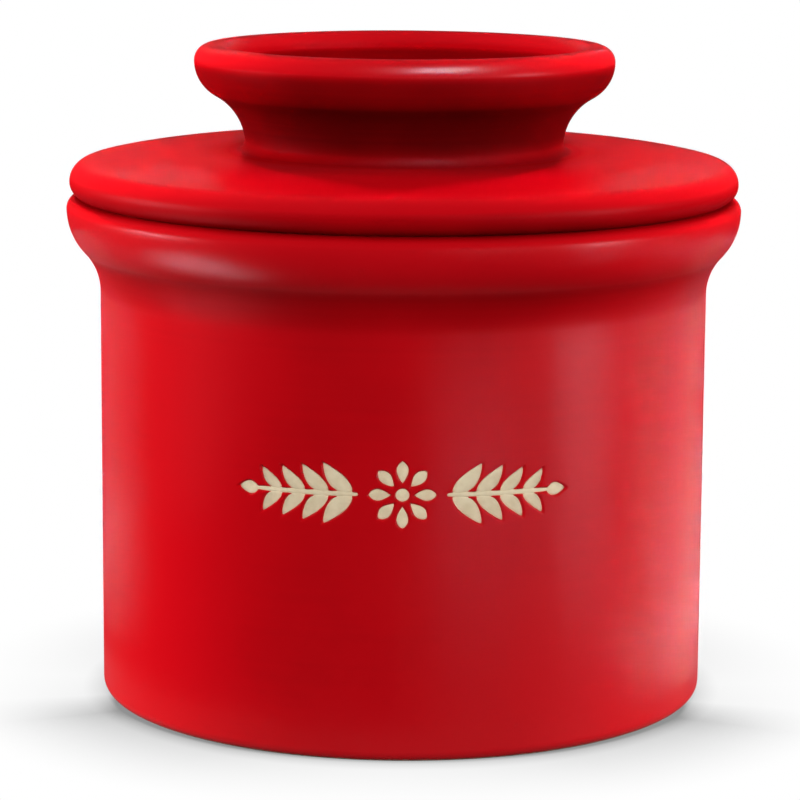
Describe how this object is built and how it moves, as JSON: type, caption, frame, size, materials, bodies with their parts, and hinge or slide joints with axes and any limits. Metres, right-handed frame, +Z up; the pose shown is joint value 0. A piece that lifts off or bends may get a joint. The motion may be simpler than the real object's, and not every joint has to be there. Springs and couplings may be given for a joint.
{
  "type": "butter keeper",
  "caption": "Glazed stoneware butter keeper: a flared crock for water, and a lid with a hanging bell for butter and a hollow flared knob that it stands on when turned over.",
  "frame": {"origin": "on the table, under the middle of the crock", "axes": "+Z up along the axis that both pieces are turned about, the decorated front faces -Y"},
  "size_m": [0.11, 0.11, 0.1066],
  "materials": {
    "red_glaze": "satin",
    "cream_slip": "satin",
    "bare_clay": "matt"
  },
  "bodies": {
    "crock_body": {"crock": "red_glaze"},
    "lid_body": {"bell_lid": "red_glaze"}
  },
  "joints": [
    {"name": "lid_lift", "type": "slide", "parent": "crock_body", "child": "lid_body", "axis": [0, 0, 1], "range_m": [0, 0.07]}
  ]
}
